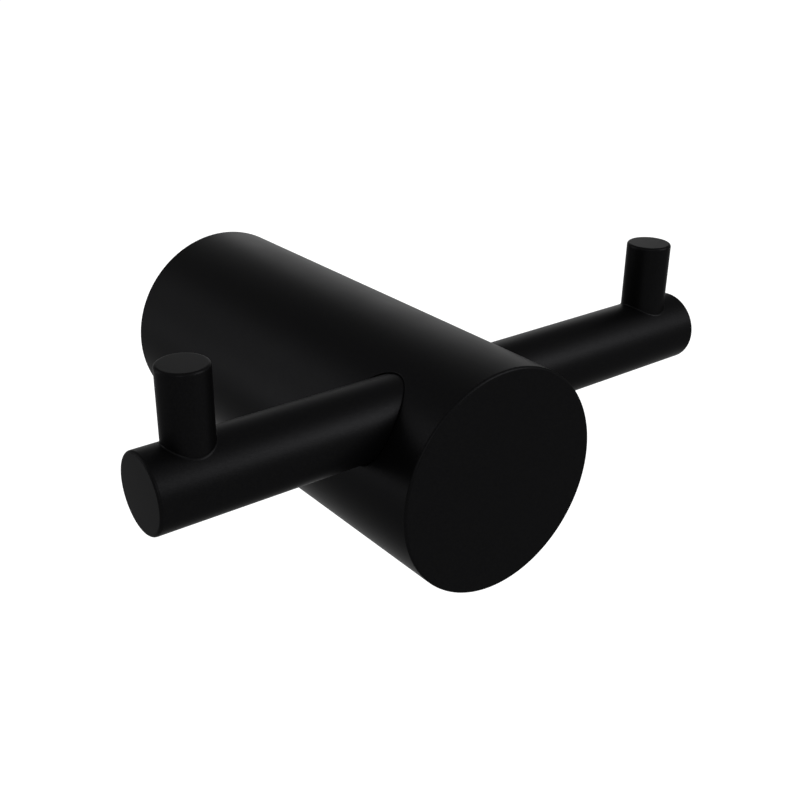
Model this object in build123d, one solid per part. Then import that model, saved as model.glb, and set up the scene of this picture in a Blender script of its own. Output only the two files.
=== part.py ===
from build123d import *
from math import radians, tan
import os

# Robe hook for a wall: a round barrel stands out from the wall and carries a
# cross bar near its front, and an upright pin near each end of the bar.
# All sizes are in millimetres. +Z is up, the wall is the plane y = 0, the
# front faces -Y, and the origin is the centre of the barrel's wall face.

# Barrel: turned from round bar.
barrel_diameter = 25.0
barrel_length = 57.0
barrel_rim_round = 0.3
barrel_back_chamfer = 0.3
recess_depth = 10.0
recess_edge_chamfer = 0.4

# Cross bar: one rod right through the barrel, above the barrel's axis.
bar_diameter = 8.0
bar_length = 70.0
bar_above_axis = 6.5
bar_behind_front = 9.0
bar_end_chamfer = 0.3
bar_clearance = 0.06
bore_mouth_chamfer = 0.18

# Hook pins: dowels pressed into blind sockets in the bar.
pin_diameter = 5.0
pin_length = 12.0
pin_rise = 7.25
pin_from_end = 5.0
pin_top_round = 0.3
pin_foot_chamfer = 0.4
pin_clearance = 0.02
socket_end_gap = 0.25
drill_point_angle = 118.0
socket_mouth_chamfer = 0.12

# Wall bracket: a disc screwed to the wall, which the barrel slides over.
bracket_diameter = 19.0
bracket_thickness = 8.0
bracket_edge_chamfer = 0.4
bracket_clearance = 0.1
wall_hole_diameter = 4.2
wall_hole_spacing = 9.5
wall_head_diameter = 7.6

# Grub screw: from below, its cone sits in the bracket's groove.
grub_diameter = 4.0
grub_length = 3.0
grub_hex = 2.0
grub_hex_depth = 1.5
grub_tip_diameter = 1.6
grub_from_wall = 4.0
grub_mouth_chamfer = 0.35
groove_depth = 1.0

# Lock screw: along the barrel, behind the bar, its cone sits in a seat there.
lock_diameter = 5.0
lock_length = 8.0
lock_hex = 2.5
lock_hex_depth = 2.5
lock_tip_diameter = 2.5
lock_seat_depth = 0.8
lock_thread_length = 10.0
lock_access_clearance = 0.3

# Fits that both screws share.
thread_clearance = 0.05
seat_gap = 0.05
screw_end_chamfer = 0.3

# Places that follow from the sizes above.
barrel_radius = barrel_diameter / 2
bar_radius = bar_diameter / 2
pin_radius = pin_diameter / 2
bracket_radius = bracket_diameter / 2
recess_radius = bracket_radius + bracket_clearance
bar_y = bar_behind_front - barrel_length
bar_top = bar_above_axis + bar_radius
pin_top = bar_top + pin_rise
pin_bottom = pin_top - pin_length
pin_x = bar_length / 2 - pin_from_end
bar_back_y = bar_y + bar_radius
groove_radius = bracket_radius - groove_depth


def rod(radius, start, end, direction):
    """Solid rod of the given radius from start, towards direction, to end."""
    height = (Vector(*end) - Vector(*start)).length
    plane = Plane(origin=start, z_dir=direction)
    return plane * Cylinder(
        radius, height, align=(Align.CENTER, Align.CENTER, Align.MIN)
    )


def cone(start_radius, end_radius, height, start, direction):
    """Solid cone frustum that starts at a point and runs along direction."""
    plane = Plane(origin=start, z_dir=direction)
    return plane * Cone(
        start_radius, end_radius, height, align=(Align.CENTER, Align.CENTER, Align.MIN)
    )


def hexagon(across_flats, depth):
    """Hexagonal prism from z = 0 down to z = -depth."""
    profile = RegularPolygon(across_flats / 2, 6, major_radius=False)
    return extrude(profile, amount=-depth)


def set_screw(diameter, length, hex_flats, hex_depth, tip_diameter):
    """Socket set screw from z = 0, where the key goes in, to its tip at z = -length."""
    radius = diameter / 2
    tip_radius = tip_diameter / 2
    cone_height = radius - tip_radius
    profile = make_face(
        Polyline(
            (0, 0),
            (radius - screw_end_chamfer, 0),
            (radius, -screw_end_chamfer),
            (radius, cone_height - length),
            (tip_radius, -length),
            (0, -length),
            (0, 0),
        )
    )
    return revolve(Plane.XZ * profile, Axis.Z) - hexagon(hex_flats, hex_depth)


def edges_on(part, radius, axis_point, axis_direction, tolerance=0.001):
    """Edges of a part whose every sampled point lies at one radius from an axis."""
    origin = Vector(*axis_point)
    direction = Vector(*axis_direction).normalized()
    found = []
    for edge in part.edges():
        points = [edge.position_at(t) for t in (0.05, 0.35, 0.65, 0.95)]
        away = [(p - origin).cross(direction).length for p in points]
        if max(abs(a - radius) for a in away) < tolerance:
            found.append(edge)
    return found


def make_barrel():
    """Barrel with its rear recess, cross bore, grub hole and lock screw hole."""
    bore_radius = bar_radius + bar_clearance
    body = rod(barrel_radius, (0, 0, 0), (0, -barrel_length, 0), (0, -1, 0))
    rims = body.edges().filter_by(GeomType.CIRCLE).sort_by(Axis.Y)
    body = chamfer(rims[-1], barrel_back_chamfer)
    rims = body.edges().filter_by(GeomType.CIRCLE).sort_by(Axis.Y)
    body = fillet(rims[0], barrel_rim_round)

    cross_bore = rod(
        bore_radius,
        (-barrel_diameter, bar_y, bar_above_axis),
        (barrel_diameter, bar_y, bar_above_axis),
        (1, 0, 0),
    )
    body -= cross_bore
    mouths = [
        e
        for e in edges_on(body, barrel_radius, (0, 0, 0), (0, 1, 0))
        if e in edges_on(body, bore_radius, (0, bar_y, bar_above_axis), (1, 0, 0))
    ]
    body = chamfer(mouths, bore_mouth_chamfer)

    recess = rod(recess_radius, (0, 0, 0), (0, -recess_depth, 0), (0, -1, 0))
    recess_lead = cone(
        recess_radius + recess_edge_chamfer,
        recess_radius,
        recess_edge_chamfer,
        (0, 0, 0),
        (0, -1, 0),
    )
    body -= recess
    body -= recess_lead

    grub_radius = grub_diameter / 2 + thread_clearance
    grub_hole = rod(
        grub_radius, (0, -grub_from_wall, 0), (0, -grub_from_wall, -barrel_diameter), (0, 0, -1)
    )
    grub_mouth = cone(
        grub_radius,
        grub_radius + 2 * grub_mouth_chamfer,
        2 * grub_mouth_chamfer,
        (0, -grub_from_wall, grub_mouth_chamfer - barrel_radius),
        (0, 0, -1),
    )
    body -= grub_hole
    body -= grub_mouth

    lock_radius = lock_diameter / 2 + thread_clearance
    access_radius = lock_diameter / 2 + lock_access_clearance
    access_end = bar_back_y + lock_thread_length
    access = rod(
        access_radius,
        (0, -recess_depth, bar_above_axis),
        (0, access_end, bar_above_axis),
        (0, -1, 0),
    )
    thread = rod(
        lock_radius,
        (0, -recess_depth, bar_above_axis),
        (0, bar_y, bar_above_axis),
        (0, -1, 0),
    )
    return body - access - thread


def make_cross_bar():
    """Rod with a pin socket near each end and the lock screw's seat behind."""
    start = (-bar_length / 2, bar_y, bar_above_axis)
    end = (bar_length / 2, bar_y, bar_above_axis)
    bar = rod(bar_radius, start, end, (1, 0, 0))
    bar = chamfer(bar.edges().filter_by(GeomType.CIRCLE), bar_end_chamfer)

    socket_radius = pin_radius + pin_clearance
    socket_bottom = pin_bottom - socket_end_gap
    for side in (-1, 1):
        x = side * pin_x
        bar -= rod(
            socket_radius, (x, bar_y, socket_bottom), (x, bar_y, bar_top + bar_radius), (0, 0, 1)
        )
        bar -= cone(
            socket_radius,
            0,
            socket_radius / tan(radians(drill_point_angle / 2)),
            (x, bar_y, socket_bottom),
            (0, 0, -1),
        )
    for side in (-1, 1):
        axis_point = (side * pin_x, bar_y, 0)
        rims = [
            e
            for e in edges_on(bar, socket_radius, axis_point, (0, 0, 1))
            if e in edges_on(bar, bar_radius, start, (1, 0, 0))
        ]
        bar = chamfer(rims, socket_mouth_chamfer)

    tip_radius = lock_tip_diameter / 2 + seat_gap
    seat = cone(
        tip_radius,
        tip_radius + bar_radius,
        bar_radius,
        (0, bar_back_y - lock_seat_depth, bar_above_axis),
        (0, 1, 0),
    )
    return bar - seat


def make_pin(x):
    """Dowel with a rounded top and a lead chamfer at its foot."""
    pin = rod(pin_radius, (x, bar_y, pin_bottom), (x, bar_y, pin_top), (0, 0, 1))
    rims = pin.edges().filter_by(GeomType.CIRCLE).sort_by(Axis.Z)
    pin = chamfer(rims[0], pin_foot_chamfer)
    rims = pin.edges().filter_by(GeomType.CIRCLE).sort_by(Axis.Z)
    return fillet(rims[-1], pin_top_round)


def make_wall_bracket():
    """Disc with two countersunk wall screw holes and a V groove around it."""
    half_floor = grub_tip_diameter / 2 + seat_gap
    half_mouth = half_floor + groove_depth
    profile = make_face(
        Polyline(
            (0, 0),
            (bracket_radius - bracket_edge_chamfer, 0),
            (bracket_radius, -bracket_edge_chamfer),
            (bracket_radius, half_mouth - grub_from_wall),
            (groove_radius, half_floor - grub_from_wall),
            (groove_radius, -half_floor - grub_from_wall),
            (bracket_radius, -half_mouth - grub_from_wall),
            (bracket_radius, bracket_edge_chamfer - bracket_thickness),
            (bracket_radius - bracket_edge_chamfer, -bracket_thickness),
            (0, -bracket_thickness),
            (0, 0),
        )
    )
    disc = revolve(profile, Axis.Y)
    hole_radius = wall_hole_diameter / 2
    head_radius = wall_head_diameter / 2
    for side in (-1, 1):
        x = side * wall_hole_spacing / 2
        disc -= rod(hole_radius, (x, 0, 0), (x, -bracket_thickness, 0), (0, -1, 0))
        disc -= cone(
            head_radius,
            hole_radius,
            head_radius - hole_radius,
            (x, -bracket_thickness, 0),
            (0, 1, 0),
        )
    return disc


def make_grub_screw():
    """Grub screw, upright under the barrel, with its tip in the bracket's groove."""
    screw = set_screw(grub_diameter, grub_length, grub_hex, grub_hex_depth, grub_tip_diameter)
    tip_z = -groove_radius - seat_gap
    plane = Plane(origin=(0, -grub_from_wall, tip_z - grub_length), z_dir=(0, 0, -1))
    return plane * screw


def make_lock_screw():
    """Lock screw along the barrel, with its tip in the seat behind the bar."""
    screw = set_screw(lock_diameter, lock_length, lock_hex, lock_hex_depth, lock_tip_diameter)
    tip_y = bar_back_y - lock_seat_depth + seat_gap
    plane = Plane(origin=(0, tip_y + lock_length, bar_above_axis), z_dir=(0, 1, 0))
    return plane * screw


def main():
    """Make each piece and write it to its own file."""
    os.makedirs("parts", exist_ok=True)
    pieces = {
        "barrel": make_barrel(),
        "cross_bar": make_cross_bar(),
        "hook_pin_left": make_pin(-pin_x),
        "hook_pin_right": make_pin(pin_x),
        "wall_bracket": make_wall_bracket(),
        "grub_screw": make_grub_screw(),
        "bar_lock_screw": make_lock_screw(),
    }
    for name, piece in pieces.items():
        export_step(piece, f"parts/{name}.step")
        print(name, round(piece.volume, 1))


main()
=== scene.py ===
import logging
import math
from dataclasses import dataclass
from enum import Enum

import bpy
import numpy as np
from mathutils import Matrix, Vector
from numpy.typing import NDArray


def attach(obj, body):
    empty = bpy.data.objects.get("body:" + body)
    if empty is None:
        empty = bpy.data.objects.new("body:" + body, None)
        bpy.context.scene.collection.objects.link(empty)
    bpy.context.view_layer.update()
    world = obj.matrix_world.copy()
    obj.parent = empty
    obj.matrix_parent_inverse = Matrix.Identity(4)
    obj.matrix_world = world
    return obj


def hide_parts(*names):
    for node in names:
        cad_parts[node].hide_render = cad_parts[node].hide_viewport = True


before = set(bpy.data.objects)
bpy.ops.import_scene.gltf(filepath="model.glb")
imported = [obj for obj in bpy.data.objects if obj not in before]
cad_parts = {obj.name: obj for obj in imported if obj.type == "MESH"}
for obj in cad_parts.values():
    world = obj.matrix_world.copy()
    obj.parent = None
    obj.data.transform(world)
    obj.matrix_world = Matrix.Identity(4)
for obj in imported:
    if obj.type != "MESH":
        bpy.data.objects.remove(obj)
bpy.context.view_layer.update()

# Robe hook for a wall. +Z is up, the wall is the plane y = 0 and the front faces -Y.
# The hook's sizes are in millimetres, and its meshes become metres when they are sewn.
# Finishes, lamps and the floor are in metres.

MM = 0.001  # in metres
TURN = 2.0 * math.pi
QUARTER = TURN / 4.0
BARELY = 1e-12  # the least length that a vector is divided by
NOISE = (0.3, 0.7)  # the limits that most of a noise lies between

Array = NDArray[np.float64]
Number = Array | float
Pair = tuple[float, float]
Triple = tuple[float, float, float]
Node = bpy.types.Node
Socket = bpy.types.NodeSocket
log = logging.getLogger("robe_hook")


class Body(Enum):
    """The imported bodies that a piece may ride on."""

    ROOT = "root"


class Facing(Enum):
    """Which side of a wall is the open side."""

    OUT = 1.0
    IN = -1.0


# Shapes that the pieces are sewn from.


def unit(vectors: Array) -> Array:
    """Each vector divided by its own length."""
    return vectors / np.maximum(np.linalg.norm(vectors, axis=-1, keepdims=True), BARELY)


def smooth_step(x: Array) -> Array:
    """x held between 0 and 1, then 3 times its square less twice its cube."""
    held = np.clip(x, 0.0, 1.0)
    return held * held * (3.0 - 2.0 * held)


def once_round(steps: int) -> Array:
    """Angles in even steps, once round from 0."""
    return np.linspace(0.0, TURN, steps + 1)


def round_hole(cells: int) -> Array:
    """A hole's own angles, in even steps from a corner of the square of cells round it."""
    return -0.375 * TURN + once_round(4 * cells)


@dataclass(frozen=True)
class Patch:
    """A grid of points on one smooth surface, with the way each point faces.

    Cells that keep leaves out are open, for another patch to fill.
    """

    points: Array
    normals: Array
    keep: NDArray[np.bool_] | None = None

    def cells(self) -> NDArray[np.int64]:
        """Four point numbers a cell, in the order that makes the cell face as its normals do.

        A cell's own direction is the cross product of its diagonals. Where that
        disagrees with the normals over the whole patch, the order is turned round.

        Returns:
            One row of four point numbers for each kept cell.
        """
        rows, columns = self.points.shape[:2]
        number = np.arange(rows * columns).reshape(rows, columns)
        a, b = number[:-1, :-1], number[:-1, 1:]
        c, d = number[1:, 1:], number[1:, :-1]
        p = self.points
        across = np.cross(p[1:, 1:] - p[:-1, :-1], p[1:, :-1] - p[:-1, 1:])
        agree = sum((across * n).sum() for n in (self.normals[:-1, :-1], self.normals[1:, 1:]))
        cells = np.stack((a, b, c, d) if agree > 0.0 else (a, d, c, b), axis=-1)
        return cells.reshape(-1, 4) if self.keep is None else cells[self.keep]


@dataclass(frozen=True)
class Skin:
    """Patches that are sewn along their shared edges into one closed mesh.

    weld is the width of the lattice that finds shared points, and shift how far it is
    moved, as a share of that width, so that no plain size lies on its lines.
    """

    name: str
    patches: list[Patch]
    weld: float = 0.001
    shift: float = 0.1371

    def sew(self) -> bpy.types.Object:
        """Makes the mesh object.

        Points that fall in the same cell of a fine lattice become one vertex, and a
        triangle that loses a side in that way is dropped, which closes the poles.
        Each triangle's corners keep the normals of the patch that they came from.

        Returns:
            The new object, at the origin, in metres.
        """
        points = np.concatenate([p.points.reshape(-1, 3) for p in self.patches])
        normals = np.concatenate([p.normals.reshape(-1, 3) for p in self.patches])
        sizes = [p.points.shape[0] * p.points.shape[1] for p in self.patches]
        starts = np.concatenate([[0], np.cumsum(sizes)[:-1]])
        cells = np.concatenate([p.cells() + s for p, s in zip(self.patches, starts)])

        lattice = np.floor(points / self.weld + self.shift).astype(np.int64)
        _, first, vertex = np.unique(lattice, axis=0, return_index=True, return_inverse=True)
        corners = np.concatenate([cells[:, [0, 1, 2]], cells[:, [0, 2, 3]]])
        triangles = vertex.reshape(-1)[corners]
        whole = (triangles != np.roll(triangles, -1, axis=1)).all(axis=1)
        corners, triangles = corners[whole], triangles[whole]

        mesh = bpy.data.meshes.new(self.name)
        mesh.from_pydata((points[first] * MM).tolist(), [], triangles.tolist())
        mesh.polygons.foreach_set("use_smooth", np.ones(len(triangles), dtype=bool))
        mesh.update()
        mesh.normals_split_custom_set(unit(normals[corners.reshape(-1)]).tolist())
        thing = bpy.data.objects.new(self.name, mesh)
        bpy.context.scene.collection.objects.link(thing)
        return thing


@dataclass(frozen=True)
class Profile:
    """A stretch of turned outline: (place along the axis, radius) and where it faces."""

    places: Array
    facing: Array


def straight(start: Pair, end: Pair, steps: int = 1) -> Profile:
    """A straight stretch of outline, with the open side to its left.

    Args:
        start: place along the axis and radius where it starts.
        end: place along the axis and radius where it ends.
        steps: how many parts it has.

    Returns:
        The stretch. It faces a quarter turn from its own direction.
    """
    share = np.linspace(0.0, 1.0, steps + 1)[:, None]
    places = (1.0 - share) * np.array(start) + share * np.array(end)
    run = np.array(end) - np.array(start)
    facing = np.array([-run[1], run[0]]) / np.hypot(run[0], run[1])
    return Profile(places, np.tile(facing, (steps + 1, 1)))


def rounded(centre: Pair, radius: float, first: float, last: float, steps: int = 8) -> Profile:
    """A round corner of an outline: its centre plus radius times (cos a, sin a).

    Args:
        centre: place along the axis and radius of the corner's centre.
        radius: the corner's radius.
        first: angle a where it starts, in degrees, 0 being along the axis.
        last: angle a where it ends, in degrees.
        steps: how many parts it has.

    Returns:
        The stretch, which faces away from its centre.
    """
    angle = np.radians(np.linspace(first, last, steps + 1))
    facing = np.stack([np.cos(angle), np.sin(angle)], axis=-1)
    return Profile(np.array(centre) + radius * facing, facing)


@dataclass(frozen=True)
class Spindle:
    """The axis that a round shape is turned on, and where its angle 0 points."""

    start: Triple
    along: Triple
    zero: Triple

    @property
    def axis(self) -> Array:
        """The direction of the axis."""
        return np.array(self.along)

    @property
    def side(self) -> Array:
        """The direction of a quarter turn: zero crossed with along."""
        return np.cross(self.zero, self.along)

    def outward(self, angle: Number) -> Array:
        """cos(angle) times the zero direction, plus sin(angle) times the side direction."""
        angle = np.asarray(angle, dtype=float)[..., None]
        return np.cos(angle) * np.array(self.zero) + np.sin(angle) * self.side

    def place(self, along: Number, radius: Number, angle: Number) -> Array:
        """The start, plus along times the axis, plus radius times the outward direction.

        Args:
            along: places along the axis.
            radius: distances from the axis.
            angle: angles round the axis.

        Returns:
            A point for each place, distance and angle.
        """
        along, radius, angle = np.broadcast_arrays(along, radius, angle)
        foot = np.array(self.start) + along[..., None] * self.axis
        return foot + radius[..., None] * self.outward(angle)

    def turned(self, outline: Profile, angles: Array) -> Patch:
        """The surface that an outline sweeps as it turns about the axis.

        Args:
            outline: the stretch of outline.
            angles: the angles that it is drawn at.

        Returns:
            A patch with one row for each place and one column for each angle.
        """
        places, facing = outline.places, outline.facing
        points = self.place(places[:, :1], places[:, 1:], angles[None, :])
        out = self.outward(angles)[None, :, :] * facing[:, 1:, None]
        return Patch(points, out + self.axis * facing[:, :1, None])


@dataclass(frozen=True)
class Hole:
    """A round hole square to a host's axis.

    along is its place along the host's axis, facing the host's angle that it opens
    to, and offset how far it passes beside the host's axis, towards growing angle.
    """

    along: float
    facing: float
    radius: float
    offset: float = 0.0

    def reach(self, angle: Array, host_radius: float) -> Array:
        """The hole's radius at each of its own angles, where it meets the host's surface."""
        return np.full_like(angle, self.radius)

    def mouth(
        self, angle: Array, host_radius: float, wider: float = 0.0
    ) -> tuple[Array, float, Array]:
        """The closed curve where the hole meets the host's surface.

        At an angle, the point lies reach times the cosine along the host's axis. It lies
        offset plus reach times the sine beside it, and the arc sine of that, over the
        host's radius, is the host's angle.

        Args:
            angle: the hole's own angles.
            host_radius: the radius of the host's surface.
            wider: how much larger than the hole the curve is.

        Returns:
            Places along the host's axis, the host's radius, and the host's angles.
        """
        reach = self.reach(angle, host_radius) + wider
        beside = self.offset + reach * np.sin(angle)
        turned = self.facing + np.arcsin(beside / host_radius)
        return self.along + reach * np.cos(angle), host_radius, turned

    def spindle(self, host: Spindle) -> Spindle:
        """The hole's own axis, from the host's axis and into the metal, away from the mouth.

        Args:
            host: the host's axis.

        Returns:
            The axis, whose angle 0 points along the host's.
        """
        out, beside = host.outward(self.facing), host.outward(self.facing + QUARTER)
        start = np.array(host.start) + self.along * host.axis + self.offset * beside
        return Spindle(tuple(start), tuple(-out), host.along)

    def height(self, angle: Array, host_radius: float) -> Array:
        """How far the host's surface stands above the host's axis at each of the hole's angles."""
        beside = self.offset + self.reach(angle, host_radius) * np.sin(angle)
        return np.sqrt(host_radius**2 - beside**2)


@dataclass(frozen=True)
class ConeSeat(Hole):
    """A seat whose wall opens at 45 degrees from a flat floor of the given radius."""

    floor_height: float = 0.0

    def reach(self, angle: Array, host_radius: float) -> Array:
        """The radius where the cone comes out of the host.

        The cone's radius is its floor radius plus its height over the floor, and the
        height is that of the host's surface, so the radius solves a square equation.

        Args:
            angle: the seat's own angles.
            host_radius: the radius of the host's surface.

        Returns:
            The radius at each angle.
        """
        less = self.floor_height - self.radius
        a = 1.0 + np.sin(angle) ** 2
        return (-less + np.sqrt(less**2 - a * (less**2 - host_radius**2))) / a


@dataclass(frozen=True)
class Opening:
    """A hole's place in a wall: the square of wall cells round it.

    The square starts at one line and one angle of the wall's grid. lip is how far the
    hole's rounded edge reaches from the hole. The edge falls into the hole, or it is
    raised: a fillet of coat that climbs what stands in the hole. The more growth, the
    closer the rings round the hole lie to it.
    """

    hole: Hole
    line: int
    angle: int
    cells: int
    lip: float = 0.0
    raised: bool = False
    rings: int = 8
    growth: float = 1.3
    lip_rings: int = 6

    @property
    def angles(self) -> Array:
        """The hole's own angles at its curves."""
        return round_hole(self.cells)

    def fill(
        self, host: Spindle, radius: float, lines: Array, angles: Array, facing: Facing
    ) -> list[Patch]:
        """The wall between the hole and the square, and the hole's rounded edge.

        Rings blend from the mouth curve to the edge of the square, in places along the
        host and host angles, so that each of them lies on the host's surface.

        Args:
            host: the wall's axis.
            radius: the wall's radius.
            lines: the wall's places along its axis.
            angles: the wall's angles.
            facing: whether the wall faces out or in.

        Returns:
            The patches.
        """
        n = self.cells
        t = lines[self.line : self.line + n + 1]
        b = angles[self.angle : self.angle + n + 1]
        edge_t = np.concatenate([t[:-1], np.full(n, t[-1]), t[:0:-1], np.full(n + 1, t[0])])
        edge_b = np.concatenate([np.full(n, b[0]), b[:-1], np.full(n, b[-1]), b[:0:-1], b[:1]])
        mouth_t, _, mouth_b = self.hole.mouth(self.angles, radius, self.lip)
        share = np.linspace(0.0, 1.0, self.rings + 1)[:, None] ** self.growth
        ring_t = (1.0 - share) * mouth_t + share * edge_t
        ring_b = (1.0 - share) * mouth_b + share * edge_b
        out = host.outward(ring_b) * facing.value
        patches = [Patch(host.place(ring_t, radius, ring_b), out)]
        if self.lip > 0.0:
            patches.append(self.rounded_edge(host, radius))
        return patches

    def rounded_edge(self, host: Spindle, radius: float) -> Patch:
        """The hole's rounded edge: a curve of the second degree between the wall and the bore.

        Its middle point is where wall and bore would meet, and it turns a quarter from
        the wall's direction to the bore's.

        Args:
            host: the wall's axis.
            radius: the wall's radius.

        Returns:
            The patch.
        """
        own = self.angles
        bore = self.hole.spindle(host)
        mouth = self.hole.mouth(own, radius, self.lip)
        corner = host.place(*self.hole.mouth(own, radius))
        way = -1.0 if self.raised else 1.0
        inside = corner + way * self.lip * bore.axis
        s = np.linspace(0.0, 1.0, self.lip_rings + 1)[:, None, None]
        points = (1.0 - s) ** 2 * host.place(*mouth) + 2.0 * s * (1.0 - s) * corner + s**2 * inside
        turn = s * QUARTER
        normals = np.cos(turn) * host.outward(mouth[2]) - way * np.sin(turn) * bore.outward(own)
        return Patch(points, normals)


def wall(
    host: Spindle, radius: float, lines: Array, angles: Array, facing: Facing, *openings: Opening
) -> list[Patch]:
    """A cylinder's wall with round holes in it.

    Args:
        host: the wall's axis.
        radius: the wall's radius.
        lines: places along the axis that have a line of points.
        angles: angles that have a line of points.
        facing: whether the wall faces out or in.
        openings: the holes, each with the square of cells that it takes the place of.

    Returns:
        The plain part of the wall, and the patches round each hole.
    """
    grid_t, grid_b = np.meshgrid(lines, angles, indexing="ij")
    keep = np.ones((len(lines) - 1, len(angles) - 1), dtype=bool)
    patches: list[Patch] = []
    for opening in openings:
        line, angle, n = opening.line, opening.angle, opening.cells
        keep[line : line + n, angle : angle + n] = False
        patches += opening.fill(host, radius, lines, angles, facing)
    plain = Patch(host.place(grid_t, radius, grid_b), host.outward(grid_b) * facing.value, keep)
    return [plain, *patches]


def lines_through(*stops: tuple[float, int]) -> Array:
    """Places along an axis, through the given stops.

    Args:
        stops: each stop's place, and the number of even steps that lead to it.

    Returns:
        The places, in order.
    """
    parts = [np.array([stops[0][0]])]
    for (before, _), (after, steps) in zip(stops[:-1], stops[1:]):
        parts.append(np.linspace(before, after, steps + 1)[1:])
    return np.concatenate(parts)


def between(first: Array, last: Array, facing: Array, rows: int = 2) -> Patch:
    """The surface of straight lines from one curve to another.

    Args:
        first: the points of one curve.
        last: the points of the other.
        facing: the way that each line faces.
        rows: how many rows of points there are.

    Returns:
        The patch. A point is a share of one curve plus the rest of the other.
    """
    share = np.linspace(0.0, 1.0, rows)[:, None, None]
    points = (1.0 - share) * first + share * last
    return Patch(points, np.broadcast_to(facing, points.shape).copy())


def grid_normals(points: Array, towards: Array) -> Array:
    """Normals of a closed grid, from the cross product of its slopes down and across.

    Args:
        points: the grid, whose last column repeats its first.
        towards: the rough direction of each normal, which settles its sign.

    Returns:
        One unit normal for each point, the same on both sides of the seam.
    """
    down = np.gradient(points, axis=0)
    across = np.gradient(points, axis=1)
    across[:, 0] = across[:, -1] = (points[:, 1] - points[:, -2]) / 2.0
    normals = unit(np.cross(down, across))
    return normals * np.sign((normals * towards).sum(axis=-1, keepdims=True))


# Finishes.


@dataclass(frozen=True)
class Painter:
    """Adds and joins the nodes of one material, or of the world."""

    owner: bpy.types.Material | bpy.types.World

    @classmethod
    def start(cls, owner: bpy.types.Material | bpy.types.World) -> "Painter":
        """Empties the node tree of a new material or world.

        Args:
            owner: the material or world.

        Returns:
            The painter for it.
        """
        owner.use_nodes = True
        owner.node_tree.nodes.clear()
        return cls(owner)

    def add(
        self, kind: str, inputs: dict[str | int, object] | None = None, **settings: object
    ) -> Node:
        """Adds a node.

        Args:
            kind: the kind of node.
            inputs: what each input is joined to or set to, by its name or number.
            settings: the node's own settings, which are made first.

        Returns:
            The node.
        """
        tree = self.owner.node_tree
        node = tree.nodes.new(kind)
        for key, value in settings.items():
            setattr(node, key, value)
        for key, value in (inputs or {}).items():
            if isinstance(value, Socket):
                tree.links.new(value, node.inputs[key])
            else:
                node.inputs[key].default_value = value
        return node

    def place(self) -> Socket:
        """Each point's place in the hook's own coordinates."""
        return self.add("ShaderNodeTexCoord").outputs["Object"]

    def noise(self, where: Socket, scale: float, detail: float, fade: float = 0.6) -> Socket:
        """Noise, most of it between the two limits that NOISE gives.

        Args:
            where: the coordinates that it reads.
            scale: how fine it is, in waves a metre.
            detail: how many finer layers it has.
            fade: the strength of each layer beside the one before.

        Returns:
            The socket of its value.
        """
        inputs = {"Vector": where, "Scale": scale, "Detail": detail, "Roughness": fade}
        return self.add("ShaderNodeTexNoise", inputs).outputs["Fac"]

    def ramp(self, value: Socket, start: Pair, end: Pair = (0.0, 1.0)) -> Socket:
        """A value stretched evenly from one pair of limits to another.

        Args:
            value: the value.
            start: the limits that it has.
            end: the limits that it gets, past which it is held.

        Returns:
            The socket of the result.
        """
        inputs = {"Value": value, "From Min": start[0], "From Max": start[1]}
        inputs |= {"To Min": end[0], "To Max": end[1]}
        return self.add("ShaderNodeMapRange", inputs).outputs["Result"]

    def tones(self, noise: Socket, dark: Triple, light: Triple) -> Socket:
        """A colour between two tones.

        Args:
            noise: the noise that mixes them.
            dark: the tone at its low limit.
            light: the tone at its high limit.

        Returns:
            The socket of the colour.
        """
        node = self.add("ShaderNodeValToRGB", {"Fac": noise})
        for stop, position, tone in zip(node.color_ramp.elements, NOISE, (dark, light)):
            stop.position, stop.color = position, (*tone, 1.0)
        return node.outputs["Color"]

    def relief(self, height: Socket, depth: float, before: Socket | None = None) -> Socket:
        """A surface with a fine relief.

        Args:
            height: the height, as a share of the depth.
            depth: the depth in metres.
            before: any relief that lies under this one.

        Returns:
            The socket of the surface's direction.
        """
        inputs = {"Strength": 1.0, "Distance": depth, "Height": height}
        if before is not None:
            inputs["Normal"] = before
        return self.add("ShaderNodeBump", inputs).outputs["Normal"]

    def from_axis(self, place: Socket, start: Triple, along: Triple) -> Socket:
        """The distance from an axis: how long the place less the start is, crossed with along.

        Args:
            place: the place.
            start: a point of the axis, in metres.
            along: the axis, of length 1.

        Returns:
            The socket of the distance, in metres.
        """
        value = place
        for operation, other in (("SUBTRACT", start), ("CROSS_PRODUCT", along)):
            node = self.add("ShaderNodeVectorMath", {0: value, 1: other}, operation=operation)
            value = node.outputs["Vector"]
        return self.add("ShaderNodeVectorMath", {0: value}, operation="LENGTH").outputs["Value"]

    def finish(
        self, metal: float, specular: float, colour: Socket, rough: Socket, facing: Socket
    ) -> Node:
        """The surface shader, joined to the output.

        Args:
            metal: how metallic it is, the same all over.
            specular: the level of the shine that isn't metallic, the same all over.
            colour: its base colour.
            rough: its roughness.
            facing: its direction, with any relief.

        Returns:
            The shader.
        """
        inputs = {"Metallic": metal, "Specular IOR Level": specular}
        inputs |= {"Base Color": colour, "Roughness": rough, "Normal": facing}
        shader = self.add("ShaderNodeBsdfPrincipled", inputs)
        self.add("ShaderNodeOutputMaterial", {"Surface": shader.outputs["BSDF"]})
        return shader


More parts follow.
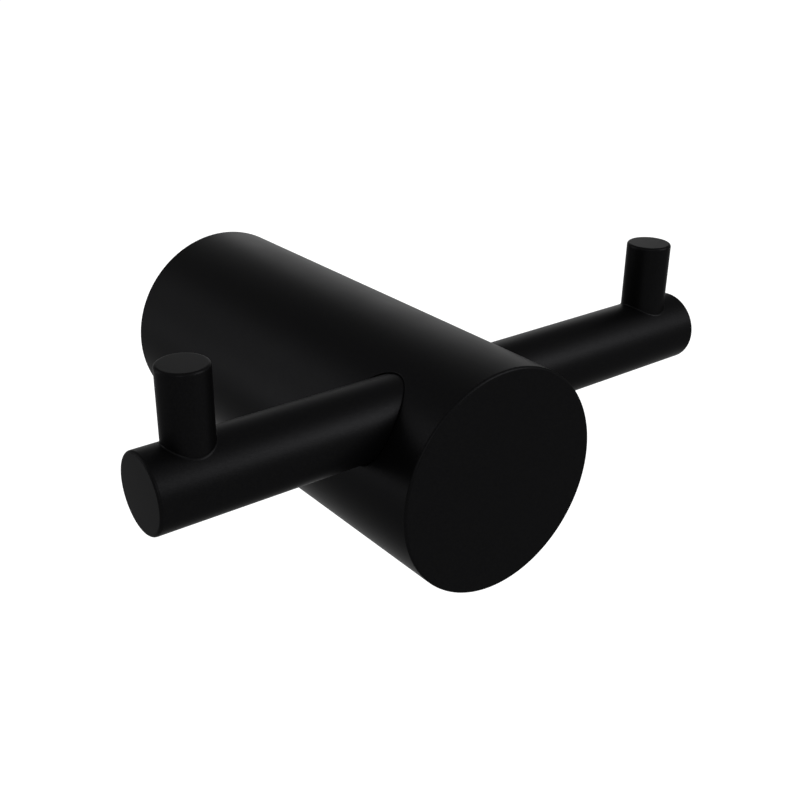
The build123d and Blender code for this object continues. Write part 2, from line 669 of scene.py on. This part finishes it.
@dataclass(frozen=True)
class BlackCoat:
    """Satin to matte black coat: near black, with a very fine grain over a slight orange peel.

    Its grain holds back the shine that a smooth coat has towards its outline. edge is
    the share of that shine that is left.
    """

    dark: Triple = (0.0034, 0.0034, 0.0036)
    light: Triple = (0.0045, 0.0045, 0.0047)
    metal: float = 0.8
    edge: float = 0.52
    roughness: Pair = (0.41, 0.44)
    cloud_per_metre: float = 120.0
    peel_per_metre: float = 900.0
    peel_depth: float = 0.0000020
    grain_per_metre: float = 5200.0
    grain_depth: float = 0.0000009

    def material(self) -> bpy.types.Material:
        """Makes the coat's material.

        The tone and the fine relief follow the grain, the coarse relief the peel, and
        the roughness a slow cloud.

        Returns:
            The material.
        """
        paint = Painter.start(bpy.data.materials.new("black_coat_satin"))
        place = paint.place()
        cloud = paint.noise(place, self.cloud_per_metre, detail=2.0)
        peel = paint.noise(place, self.peel_per_metre, detail=1.0)
        grain = paint.noise(place, self.grain_per_metre, detail=2.0)
        colour = paint.tones(grain, self.dark, self.light)
        rough = paint.ramp(cloud, NOISE, self.roughness)
        facing = paint.relief(grain, self.grain_depth, paint.relief(peel, self.peel_depth))
        shader = paint.finish(self.metal, 0.0, colour, rough, facing)
        shader.inputs["Specular Tint"].default_value = (self.edge,) * 3 + (1.0,)
        return paint.owner


@dataclass(frozen=True)
class TurnedZinc:
    """Plain zinc grey over turned steel: fine rings round the bracket's axis, cloudy plating."""

    dark: Triple = (0.42, 0.42, 0.41)
    light: Triple = (0.60, 0.60, 0.59)
    specular: float = 0.5
    roughness: Pair = (0.26, 0.42)
    cloud_per_metre: float = 350.0
    rings_per_metre: float = 5200.0
    ring_depth: float = 0.000004

    def material(self) -> bpy.types.Material:
        """Makes the zinc's material.

        The rings are noise read at (distance from the Y axis, y, 0), which is the same
        all round a circle, so it draws rings on the faces and lines round the rim.

        Returns:
            The material.
        """
        paint = Painter.start(bpy.data.materials.new("turned_zinc"))
        place = paint.place()
        apart = paint.add("ShaderNodeSeparateXYZ", {"Vector": place})
        distance = paint.from_axis(place, (0.0, 0.0, 0.0), (0.0, -1.0, 0.0))
        ring = paint.add("ShaderNodeCombineXYZ", {"X": distance, "Y": apart.outputs["Y"]})
        rings = paint.noise(ring.outputs["Vector"], self.rings_per_metre, detail=3.0)
        cloud = paint.noise(place, self.cloud_per_metre, detail=3.0)
        colour = paint.tones(cloud, self.dark, self.light)
        rough = paint.ramp(rings, NOISE, self.roughness)
        paint.finish(1.0, self.specular, colour, rough, paint.relief(rings, self.ring_depth))
        return paint.owner


@dataclass(frozen=True)
class BlackOxide:
    """Black oxide on steel: dark, a little brown in places, and rubbed along the thread's crests.

    worn_from is where the rubbing starts, as a share of the screw's radius.
    """

    dark: Triple = (0.045, 0.045, 0.050)
    light: Triple = (0.085, 0.080, 0.076)
    rubbed: Triple = (0.30, 0.29, 0.28)
    worn_from: float = 0.9
    metal: float = 0.9
    specular: float = 0.5
    roughness: Pair = (0.34, 0.5)
    cloud_per_metre: float = 1400.0
    pit_depth: float = 0.000002

    def material(self, screw: "SetScrew") -> bpy.types.Material:
        """Makes the oxide's material for one screw.

        The rubbed share grows with the distance from the screw's axis, up to its radius.

        Args:
            screw: the screw, whose axis and radius the rubbing follows.

        Returns:
            The material.
        """
        paint = Painter.start(bpy.data.materials.new(f"black_oxide_{screw.name}"))
        place, radius = paint.place(), screw.radius * MM
        start = tuple(c * MM for c in screw.spindle.start)
        distance = paint.from_axis(place, start, screw.spindle.along)
        worn = paint.ramp(distance, (self.worn_from * radius, radius))
        cloud = paint.noise(place, self.cloud_per_metre, detail=3.0)
        plain = paint.tones(cloud, self.dark, self.light)
        mix = {"Factor": worn, "A": plain, "B": (*self.rubbed, 1.0)}
        colour = paint.add("ShaderNodeMix", mix, data_type="RGBA").outputs["Result"]
        rough = paint.ramp(cloud, NOISE, self.roughness)
        relief = paint.relief(cloud, self.pit_depth)
        paint.finish(self.metal, self.specular, colour, rough, relief)
        return paint.owner


def dress(thing: bpy.types.Object, material: bpy.types.Material, slot: str, *nodes: str) -> None:
    """Gives a piece its finish, and says which nodes it stands for.

    Args:
        thing: the piece.
        material: its finish.
        slot: not used.
        nodes: the nodes that it replaces.
    """
    thing.data.materials.clear()
    thing.data.materials.append(material)
    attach(thing, Body.ROOT.value)
    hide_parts(*nodes)
    log.info("%s: %d triangles, for %s", thing.name, len(thing.data.polygons), ", ".join(nodes))


# Pieces.


@dataclass(frozen=True)
class Thread:
    """A screw thread: a wave round an axis that climbs one pitch a turn.

    top and bottom are how wide the wave's flat top and bottom are, in pitches.
    """

    pitch: float
    crest: float
    root: float
    top: float = 0.125
    bottom: float = 0.25

    def radius(self, along: Array, angle: Array) -> Array:
        """The thread's radius at places along its axis and round it.

        Once a pitch the wave rises and falls evenly between root and crest. It moves on
        by the share of a turn that the angle makes.

        Args:
            along: places along the axis.
            angle: angles round it.

        Returns:
            The radius at each.
        """
        phase = np.mod(along / self.pitch - angle / TURN, 1.0)
        rise = 1.0 - self.bottom - np.abs(2.0 * phase - 1.0)
        wave = np.clip(rise / (1.0 - self.bottom - self.top), 0.0, 1.0)
        return self.root + (self.crest - self.root) * wave


@dataclass(frozen=True)
class SetScrew:
    """A socket set screw with a cone tip, from its key end along its spindle to its tip."""

    name: str
    node: str
    spindle: Spindle
    radius: float
    length: float
    hex_flats: float
    hex_depth: float
    tip_radius: float
    thread: Thread
    end_chamfer: float = 0.3
    columns: int = 72
    lines_per_pitch: int = 24

    @property
    def hex_corner(self) -> float:
        """The radius of the circle through the hexagon's corners."""
        return self.hex_flats / math.sqrt(3.0)

    def threaded_wall(self, angles: Array) -> Patch:
        """The thread, from the key end to the tip.

        The radius is the thread's own, held under the outline that the end chamfer and
        the tip's cone cut, which both run at 45 degrees.

        Args:
            angles: the screw's angles.

        Returns:
            The wall.
        """
        steps = int(self.length / self.thread.pitch * self.lines_per_pitch)
        along = np.linspace(0.0, self.length, steps + 1)
        t, b = np.meshgrid(along, angles, indexing="ij")
        limit = np.minimum(self.radius - self.end_chamfer + t, self.tip_radius + self.length - t)
        points = self.spindle.place(t, np.minimum(self.thread.radius(t, b), limit), b)
        return Patch(points, grid_normals(points, self.spindle.outward(b)))

    def socket(self, angles: Array) -> list[Patch]:
        """The socket's lead, its six flats and its floor.

        The hexagon's radius is half its size over flats, over the cosine of the angle
        from the nearest flat's middle. The lead is a 45 degree cone from the corners'
        circle, so it is as deep as it is wide.

        Args:
            angles: the screw's angles.

        Returns:
            The patches.
        """
        sixth = TURN / 6.0
        off_middle = np.mod(angles + sixth / 2.0, sixth) - sixth / 2.0
        hexagon = self.hex_flats / 2.0 / np.cos(off_middle)
        lead = self.hex_corner - hexagon
        place, out, axis = self.spindle.place, self.spindle.outward, self.spindle.axis
        rim, foot = place(0.0, self.hex_corner, angles), place(lead, hexagon, angles)
        patches = [between(rim, foot, unit(-out(angles) - axis))]
        each = self.columns // 6
        half = each // 2
        for k in range(6):
            columns = np.arange(k * each - half, k * each + half + 1) % self.columns
            top = place(lead[columns], hexagon[columns], angles[columns])
            foot = place(self.hex_depth, hexagon[columns], angles[columns])
            patches.append(between(top, foot, -out(k * sixth), rows=4))
        floor = place(self.hex_depth, hexagon, angles)
        patches.append(between(floor, place(self.hex_depth, 0.0, angles), -axis))
        return patches

    def build(self) -> bpy.types.Object:
        """Sews the screw.

        Returns:
            The screw.
        """
        angles = once_round(self.columns)
        thread = self.threaded_wall(angles)
        rim = self.spindle.place(0.0, self.hex_corner, angles)
        face = between(rim, thread.points[0], -self.spindle.axis)
        tip = straight((self.length, self.tip_radius), (self.length, 0.0))
        end = self.spindle.turned(tip, angles)
        return Skin(self.name, [thread, *self.socket(angles), face, end]).sew()

    def make(self, finish: BlackOxide) -> None:
        """Builds the screw and dresses it."""
        dress(self.build(), finish.material(self), "screw_steel", self.node)


@dataclass(frozen=True)
class CrossBar:
    """The rod through the barrel, with a pin socket near each end and a seat behind.

    Each square of wall cells, round a socket or the seat, reaches as far from its
    middle as socket_square or seat_square says, and has as many cells as the next line.
    """

    radius: float = 4.0
    length: float = 70.0
    above_axis: float = 6.5
    y: float = -48.0
    end_round: float = 0.3
    socket_radius: float = 2.52
    coat_fillet: float = 0.14
    socket_floor: float = 1.0
    socket_tip: float = 1.514
    socket_square: float = 3.6
    socket_cells: int = 28
    pin_x: float = 30.0
    seat_floor_radius: float = 1.3
    seat_floor_height: float = 3.2
    seat_square: float = 2.6
    seat_cells: int = 16
    end_lines: int = 2
    plain_lines: int = 12
    columns: int = 96

    @property
    def spindle(self) -> Spindle:
        """The bar's axis, along +X, with its angle 0 on top."""
        return Spindle((0.0, self.y, self.above_axis), (1.0, 0.0, 0.0), (0.0, 0.0, 1.0))

    def socket(self, opening: Opening) -> list[Patch]:
        """A pin socket's wall, from the top of the coat's fillet, and its drilled floor.

        Args:
            opening: the socket in the bar's wall.

        Returns:
            The patches.
        """
        own, radius = opening.angles, self.socket_radius
        bore = opening.hole.spindle(self.spindle)
        top = -(opening.hole.height(own, self.radius) + self.coat_fillet)
        foot = bore.place(self.socket_floor, radius, own)
        side = between(bore.place(top, radius, own), foot, -bore.outward(own), rows=6)
        floor = straight((self.socket_floor, radius), (self.socket_floor + self.socket_tip, 0.0))
        return [side, bore.turned(Profile(floor.places, -np.abs(floor.facing)), own)]

    def seat(self, opening: Opening) -> list[Patch]:
        """The lock screw's seat: a cone that ends on a small flat floor.

        Args:
            opening: the seat in the bar's wall.

        Returns:
            The patches.
        """
        own, hole = opening.angles, opening.hole
        bore = hole.spindle(self.spindle)
        mouth = bore.place(-hole.height(own, self.radius), hole.reach(own, self.radius), own)
        floor = bore.place(-self.seat_floor_height, self.seat_floor_radius, own)
        centre = bore.place(-self.seat_floor_height, 0.0, own)
        return [
            between(mouth, floor, unit(-bore.outward(own) - bore.axis), rows=3),
            between(floor, centre, -bore.axis),
        ]

    def openings(self) -> tuple[Opening, Opening, Opening]:
        """The left socket, the right socket and the seat, each in its square of wall cells.

        The wall is drawn from the underside round, so that no socket crosses its seam.

        Returns:
            The three openings.
        """
        cells, radius, fillet = self.socket_cells, self.socket_radius, self.coat_fillet
        seat_line = self.end_lines + cells + self.plain_lines
        right_line = seat_line + self.seat_cells + self.plain_lines
        top = (self.columns - cells) // 2
        behind = 3 * self.columns // 4 - self.seat_cells // 2
        left, right = Hole(-self.pin_x, 0.0, radius), Hole(self.pin_x, 0.0, radius)
        seat = ConeSeat(0.0, QUARTER, self.seat_floor_radius, 0.0, self.seat_floor_height)
        return (
            Opening(left, self.end_lines, top, cells, fillet, raised=True),
            Opening(right, right_line, top, cells, fillet, raised=True),
            Opening(seat, seat_line, behind, self.seat_cells),
        )

    def build(self) -> bpy.types.Object:
        """Sews the bar.

        Returns:
            The bar.
        """
        half, flat = self.length / 2.0, self.length / 2.0 - self.end_round
        near, far = self.pin_x - self.socket_square, self.pin_x + self.socket_square
        lines = lines_through(
            (-flat, 0),
            (-far, self.end_lines),
            (-near, self.socket_cells),
            (-self.seat_square, self.plain_lines),
            (self.seat_square, self.seat_cells),
            (near, self.plain_lines),
            (far, self.socket_cells),
            (flat, self.end_lines),
        )
        angles = once_round(self.columns) - TURN / 2.0
        spindle, inner = self.spindle, self.radius - self.end_round
        left, right, seat = self.openings()
        outline = [
            rounded((flat, inner), self.end_round, 90.0, 0.0),
            straight((half, inner), (half, 0.0), steps=3),
            straight((-half, 0.0), (-half, inner), steps=3),
            rounded((-flat, inner), self.end_round, 180.0, 90.0),
        ]
        patches = [
            *wall(spindle, self.radius, lines, angles, Facing.OUT, left, right, seat),
            *self.socket(left),
            *self.socket(right),
            *self.seat(seat),
            *[spindle.turned(stretch, angles) for stretch in outline],
        ]
        return Skin("coated_cross_bar", patches).sew()

    def make(self, finish: bpy.types.Material) -> None:
        """Builds the bar and dresses it."""
        dress(self.build(), finish, "black_coat", "cross_bar")


@dataclass(frozen=True)
class HookPin:
    """A dowel in the bar: a chamfered foot, a plain wall and a rounded top."""

    name: str
    node: str
    x: float
    y: float = -48.0
    radius: float = 2.5
    bottom: float = 5.75
    length: float = 12.0
    foot_chamfer: float = 0.4
    top_round: float = 0.3
    columns: int = 120

    def build(self) -> bpy.types.Object:
        """Sews the pin: its outline turned about its own upright axis.

        Returns:
            The pin.
        """
        spindle = Spindle((self.x, self.y, self.bottom), (0.0, 0.0, 1.0), (0.0, -1.0, 0.0))
        foot, shoulder = self.foot_chamfer, self.length - self.top_round
        flat = self.radius - self.top_round
        outline = [
            straight((0.0, 0.0), (0.0, self.radius - foot)),
            straight((0.0, self.radius - foot), (foot, self.radius)),
            straight((foot, self.radius), (shoulder, self.radius), steps=8),
            rounded((shoulder, flat), self.top_round, 90.0, 0.0, steps=10),
            straight((self.length, flat), (self.length, 0.0), steps=3),
        ]
        angles = once_round(self.columns)
        return Skin(self.name, [spindle.turned(stretch, angles) for stretch in outline]).sew()

    def make(self, finish: bpy.types.Material) -> None:
        """Builds the pin and dresses it."""
        dress(self.build(), finish, "black_coat", self.node)


@dataclass(frozen=True)
class Barrel:
    """The round barrel: its recess at the wall, the bar's bore, and the two screws' holes.

    Each square of wall cells reaches as far from its middle as the _square field says,
    and has as many cells as the _cells field after it. mouth_angle is the angle of the
    wall's grid that the right mouth's square starts at, and the left one mirrors it.
    """

    bar: CrossBar
    grub: SetScrew
    radius: float = 12.5
    length: float = 57.0
    rim_round: float = 0.3
    back_chamfer: float = 0.3
    recess_radius: float = 9.6
    recess_depth: float = 10.0
    recess_chamfer: float = 0.4
    bore_radius: float = 4.06
    bore_lip: float = 0.18
    mouth_square: float = 6.5
    mouth_cells: int = 28
    mouth_angle: int = 8
    grub_place: float = 4.0
    grub_hole_radius: float = 2.05
    grub_mouth: float = 0.35
    grub_square: float = 3.0
    grub_cells: int = 12
    grub_rows: int = 90
    thread_play: float = 0.05
    thread_fade: float = 0.5
    access_radius: float = 2.8
    access_end: float = 34.0
    lock_hole_radius: float = 2.55
    lock_square: float = 4.2
    lock_cells: int = 36
    columns: int = 144

    @property
    def spindle(self) -> Spindle:
        """The barrel's axis, from the wall along -Y, with its angle 0 on top and +X next."""
        return Spindle((0.0, 0.0, 0.0), (0.0, -1.0, 0.0), (0.0, 0.0, 1.0))

    @property
    def below(self) -> Hole:
        """The grub screw's hole, on the underside."""
        return Hole(self.grub_place, TURN / 2.0, self.grub_hole_radius)

    @property
    def lock(self) -> Hole:
        """The lock screw's hole, which opens in the bore's wall."""
        return Hole(0.0, QUARTER, self.lock_hole_radius)

    def grub_opening(self, lip: float = 0.0) -> Opening:
        """The grub screw's hole in a wall whose first line comes before the hole's square."""
        return Opening(self.below, 1, (self.columns - self.grub_cells) // 2, self.grub_cells, lip)

    def outer_wall(self, angles: Array) -> list[Patch]:
        """The outer wall with the bar's two mouths and the grub screw's hole.

        Args:
            angles: the barrel's angles.

        Returns:
            The patches.
        """
        place, cells, beside = -self.bar.y, self.mouth_cells, self.bar.above_axis
        to_mouths = 14
        lines = lines_through(
            (self.back_chamfer, 0),
            (self.grub_place - self.grub_square, 1),
            (self.grub_place + self.grub_square, self.grub_cells),
            (place - self.mouth_square, to_mouths),
            (place + self.mouth_square, cells),
            (self.length - self.rim_round, 2),
        )
        line = 1 + self.grub_cells + to_mouths
        opposite = self.columns - self.mouth_angle - cells
        right = Hole(place, QUARTER, self.bore_radius, -beside)
        left = Hole(place, 0.75 * TURN, self.bore_radius, beside)
        openings = [
            Opening(right, line, self.mouth_angle, cells, self.bore_lip),
            Opening(left, line, opposite, cells, self.bore_lip),
            self.grub_opening(self.grub_mouth),
        ]
        return wall(self.spindle, self.radius, lines, angles, Facing.OUT, *openings)

    def cross_bore(self) -> list[Patch]:
        """The bore's wall, from one mouth to the other, with the lock screw's hole in it.

        The bore ends where its wall meets the barrel: at the square root of the barrel's
        radius squared less the height squared, drawn in by the lip.

        Returns:
            The patches.
        """
        spindle, inner = self.bar.spindle, self.lock_square
        angles = once_round(4 * self.mouth_cells)
        height = self.bar.above_axis + self.bore_radius * np.cos(angles)
        end = np.sqrt(self.radius**2 - height**2) - self.bore_lip
        lines = lines_through((-inner, 0), (inner, self.lock_cells))
        opening = Opening(self.lock, 0, self.mouth_cells - self.lock_cells // 2, self.lock_cells)
        patches = wall(spindle, self.bore_radius, lines, angles, Facing.IN, opening)
        for side in (-1.0, 1.0):
            near = spindle.place(side * inner, self.bore_radius, angles)
            far = spindle.place(side * end, self.bore_radius, angles)
            patches.append(between(near, far, -spindle.outward(angles), rows=5))
        return patches

    def lock_hole(self) -> list[Patch]:
        """The lock screw's way in: a wide bore from the recess, then a narrow one to the bar.

        Returns:
            The patches.
        """
        own = round_hole(self.lock_cells)
        bore = self.lock.spindle(self.bar.spindle)
        depth, start = self.bar.y + self.access_end, self.bar.y + self.recess_depth
        mouth = bore.place(-self.lock.height(own, self.bore_radius), self.lock_hole_radius, own)
        step = bore.place(depth, self.lock_hole_radius, own)
        wide = bore.place(depth, self.access_radius, own)
        inward = -bore.outward(own)
        return [
            between(mouth, step, inward, rows=8),
            between(step, wide, -bore.axis),
            between(wide, bore.place(start, self.access_radius, own), inward, rows=12),
        ]

    def recess(self, angles: Array) -> list[Patch]:
        """The recess for the bracket: its lead, its wall with the grub hole, and its floor.

        The floor runs in straight lines from the lock screw's bore, which is off centre,
        to the recess wall.

        Args:
            angles: the barrel's angles.

        Returns:
            The patches.
        """
        spindle, r = self.spindle, self.recess_radius
        lines = lines_through(
            (self.recess_chamfer, 0),
            (self.grub_place - self.grub_square, 1),
            (self.grub_place + self.grub_square, self.grub_cells),
            (self.recess_depth, 2),
        )
        lead = straight((self.recess_chamfer, r), (0.0, r + self.recess_chamfer))
        bore = Spindle((0.0, 0.0, self.bar.above_axis), spindle.along, spindle.zero)
        edge = bore.place(self.recess_depth, self.access_radius, angles)
        rim = spindle.place(self.recess_depth, r, angles)
        return [
            *wall(spindle, r, lines, angles, Facing.IN, self.grub_opening()),
            spindle.turned(lead, angles),
            between(edge, rim, -spindle.axis, rows=6),
        ]

    def grub_hole(self) -> Patch:
        """The grub screw's hole, with a thread that follows the screw's at a small play.

        Near both ends the thread fades into the hole's plain radius, over the share of
        a pitch that thread_fade gives.

        Returns:
            The hole's wall.
        """
        own, plain = round_hole(self.grub_cells), self.grub_hole_radius
        bore = self.below.spindle(self.spindle)
        top = self.below.height(own, self.recess_radius)
        foot = self.below.height(own, self.radius) - self.grub_mouth
        share = np.linspace(0.0, 1.0, self.grub_rows)[:, None]
        down = (1.0 - share) * foot + share * top
        screw, thread = self.grub.spindle, self.grub.thread
        apart = bore.place(-down, plain, own) - np.array(screw.start)
        turned = np.arctan2(apart @ screw.side, apart @ np.array(screw.zero))
        deep = thread.radius(apart @ screw.axis, turned) + self.thread_play
        to_end = np.minimum(down - top, foot - down)
        radius = plain + (deep - plain) * smooth_step(to_end / (self.thread_fade * thread.pitch))
        points = bore.place(-down, radius, own)
        return Patch(points, grid_normals(points, -bore.outward(own)))

    def build(self) -> bpy.types.Object:
        """Sews the barrel.

        Returns:
            The barrel.
        """
        angles = once_round(self.columns)
        spindle, flat = self.spindle, self.length - self.rim_round
        inner, back = self.radius - self.rim_round, self.radius - self.back_chamfer
        outline = [
            straight((0.0, self.recess_radius + self.recess_chamfer), (0.0, back)),
            straight((0.0, back), (self.back_chamfer, self.radius)),
            rounded((flat, inner), self.rim_round, 90.0, 0.0, steps=10),
            straight((self.length, inner), (self.length, 0.0), steps=6),
        ]
        patches = [
            *self.outer_wall(angles),
            *self.recess(angles),
            *self.cross_bore(),
            *self.lock_hole(),
            self.grub_hole(),
            *[spindle.turned(stretch, angles) for stretch in outline],
        ]
        return Skin("coated_barrel", patches).sew()

    def make(self, finish: bpy.types.Material) -> None:
        """Builds the barrel and dresses it."""
        dress(self.build(), finish, "black_coat", "barrel")


@dataclass(frozen=True)
class WallBracket:
    """The disc behind the barrel. Its solid is right as it is, and only gets its finish."""

    node: str = "wall_bracket"

    def make(self, finish: bpy.types.Material) -> None:
        """Gives the bracket's own mesh its finish.

        Args:
            finish: the finish.
        """
        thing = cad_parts[self.node]
        for place in thing.material_slots:
            place.material = finish
        log.info("%s: kept as packed, %d triangles", thing.name, len(thing.data.polygons))


# The studio.


def direction(azimuth: float, elevation: float) -> Vector:
    """The direction from the hook to a camera or a lamp: (sin a cos e, -cos a cos e, sin e).

    Args:
        azimuth: a in degrees, 0 in front of the hook and 90 on its +X side.
        elevation: e in degrees, over the level.

    Returns:
        The direction, of length 1.
    """
    a, e = math.radians(azimuth), math.radians(elevation)
    return Vector((math.sin(a) * math.cos(e), -math.cos(a) * math.cos(e), math.sin(e)))


@dataclass(frozen=True)
class Viewpoint:
    """The camera: the direction it looks from, its distance, and the aim beside the target.

    Its distances are in millimetres, but near and far, the limits of its sight, in metres.
    """

    azimuth: float = -38.019
    elevation: float = 25.124
    roll: float = 0.761
    distance: float = 126.86
    aim_right: float = -3.5
    aim_up: float = 2.7625
    target: Triple = (0.0, -34.2, 3.75)
    lens: float = 49.67
    sensor: float = 36.0
    near: float = 0.01
    far: float = 20.0

    def make(self) -> None:
        """Creates the camera. Right and up are square to its direction, and roll turns both."""
        a, c = math.radians(self.azimuth), math.radians(self.roll)
        back = direction(self.azimuth, self.elevation)
        right = Vector((math.cos(a), math.sin(a), 0.0))
        up = back.cross(right)
        right, up = math.cos(c) * right + math.sin(c) * up, math.cos(c) * up - math.sin(c) * right
        place = Vector(self.target) + back * self.distance
        place = place - right * self.aim_right - up * self.aim_up
        lens = bpy.data.cameras.new("photo_camera")
        lens.lens, lens.sensor_width = self.lens, self.sensor
        lens.clip_start, lens.clip_end = self.near, self.far
        camera = bpy.data.objects.new("photo_camera", lens)
        turn = Matrix((right, up, back)).transposed().to_4x4()
        camera.matrix_world = Matrix.Translation(place * MM) @ turn
        bpy.context.scene.collection.objects.link(camera)
        bpy.context.scene.camera = camera


@dataclass(frozen=True)
class SoftBox:
    """A square lamp that points at the hook. Its power is in watts, and its sizes in metres."""

    name: str
    azimuth: float
    elevation: float
    power: float
    distance: float = 0.7
    size: float = 0.25
    aim: Triple = (0.0, -0.034, 0.004)

    def make(self) -> None:
        """Creates the lamp on a sphere round its aim."""
        back = direction(self.azimuth, self.elevation)
        lamp = bpy.data.lights.new(self.name, "AREA")
        lamp.shape, lamp.size, lamp.energy = "SQUARE", self.size, self.power
        thing = bpy.data.objects.new(self.name, lamp)
        thing.location = Vector(self.aim) + back * self.distance
        thing.rotation_mode = "QUATERNION"
        thing.rotation_quaternion = back.to_track_quat("Z", "Y")
        bpy.context.scene.collection.objects.link(thing)


@dataclass(frozen=True)
class Studio:
    """A floor and a surround that are white where they are seen, and soft lamps.

    As light on the hook, the floor is a matt grey and the surround a soft grey.
    """

    floor_z: float = -0.16
    floor_radius: float = 2.5
    floor_sides: int = 96
    floor_tone: float = 0.2
    fill: float = 0.25
    lamps: tuple[SoftBox, ...] = (
        SoftBox("front_right_box", 38.0, 25.0, 3.6),
        SoftBox("front_high_box", 45.0, 40.0, 0.95),
        SoftBox("camera_side_box", -38.0, 24.0, 1.1),
        SoftBox("back_left_box", 218.0, 25.0, 0.9),
        SoftBox("left_low_box", 225.0, 5.0, 0.9),
        SoftBox("left_under_box", 225.0, -10.0, 0.9),
        SoftBox("back_right_box", 142.0, 25.0, 0.65),
        SoftBox("back_right_low_box", 135.0, 10.0, 0.36),
        SoftBox("back_low_box", 157.5, 10.0, 0.36),
    )

    def seen(self, paint: Painter) -> Socket:
        """1 for what the camera, a reflection or glass sees, and 0 for light on the object.

        Args:
            paint: the painter of what is seen.

        Returns:
            The socket of the value.
        """
        path = paint.add("ShaderNodeLightPath").outputs
        total = path["Is Camera Ray"]
        for more in (path["Is Glossy Ray"], path["Is Transmission Ray"]):
            node = paint.add("ShaderNodeMath", {0: total, 1: more}, operation="ADD", use_clamp=True)
            total = node.outputs[0]
        return total

    def surround(self) -> None:
        """The world: white where it is seen, and a soft grey as light on the object."""
        bpy.context.scene.world = bpy.data.worlds.new("surround")
        paint = Painter.start(bpy.context.scene.world)
        levels = {"Factor": self.seen(paint), "A": self.fill, "B": 1.0}
        level = paint.add("ShaderNodeMix", levels, data_type="FLOAT").outputs["Result"]
        glow = paint.add("ShaderNodeBackground", {"Color": (1.0,) * 4, "Strength": level})
        paint.add("ShaderNodeOutputWorld", {"Surface": glow.outputs["Background"]})

    def floor(self) -> None:
        """The floor: a disc whose white is its own where it is seen, over a matt grey paint."""
        angle = once_round(self.floor_sides)[:-1]
        x, y = self.floor_radius * np.cos(angle), self.floor_radius * np.sin(angle)
        ring = np.stack([x, y, np.full_like(angle, self.floor_z)], axis=-1)
        mesh = bpy.data.meshes.new("studio_floor")
        mesh.from_pydata(ring.tolist(), [], [list(range(len(ring)))])
        thing = bpy.data.objects.new("studio_floor", mesh)
        bpy.context.scene.collection.objects.link(thing)
        paint = Painter.start(bpy.data.materials.new("floor_paint"))
        grey = (self.floor_tone,) * 3 + (1.0,)
        matt = paint.add("ShaderNodeBsdfDiffuse", {"Color": grey}).outputs["BSDF"]
        white = paint.add("ShaderNodeEmission", {"Strength": self.seen(paint)})
        both = paint.add("ShaderNodeAddShader", {0: matt, 1: white.outputs["Emission"]})
        paint.add("ShaderNodeOutputMaterial", {"Surface": both.outputs["Shader"]})
        mesh.materials.append(paint.owner)

    def make(self) -> None:
        """Sets the studio up."""
        bpy.context.scene.view_settings.view_transform = "Standard"
        self.surround()
        self.floor()
        for lamp in self.lamps:
            lamp.make()


def main() -> None:
    """Builds the hook's pieces in order, then the camera and the studio."""
    logging.basicConfig(level=logging.INFO, format="%(name)s %(message)s")
    coat = BlackCoat().material()
    oxide = BlackOxide()
    bar = CrossBar()
    grub = SetScrew(
        name="threaded_grub_screw",
        node="grub_screw",
        spindle=Spindle((0.0, -4.0, -11.55), (0.0, 0.0, 1.0), (1.0, 0.0, 0.0)),
        radius=2.0,
        length=3.0,
        hex_flats=2.0,
        hex_depth=1.5,
        tip_radius=0.8,
        thread=Thread(pitch=0.7, crest=2.0, root=1.62),
    )
    lock = SetScrew(
        name="threaded_lock_screw",
        node="bar_lock_screw",
        spindle=Spindle((0.0, -36.75, 6.5), (0.0, -1.0, 0.0), (1.0, 0.0, 0.0)),
        radius=2.5,
        length=8.0,
        hex_flats=2.5,
        hex_depth=2.5,
        tip_radius=1.25,
        thread=Thread(pitch=0.8, crest=2.5, root=2.07),
    )
    Barrel(bar, grub).make(coat)
    bar.make(coat)
    HookPin("left_hook_pin", "hook_pin_left", -bar.pin_x).make(coat)
    HookPin("right_hook_pin", "hook_pin_right", bar.pin_x).make(coat)
    WallBracket().make(TurnedZinc().material())
    grub.make(oxide)
    lock.make(oxide)
    Viewpoint().make()
    Studio().make()


if __name__ == "__main__":
    main()
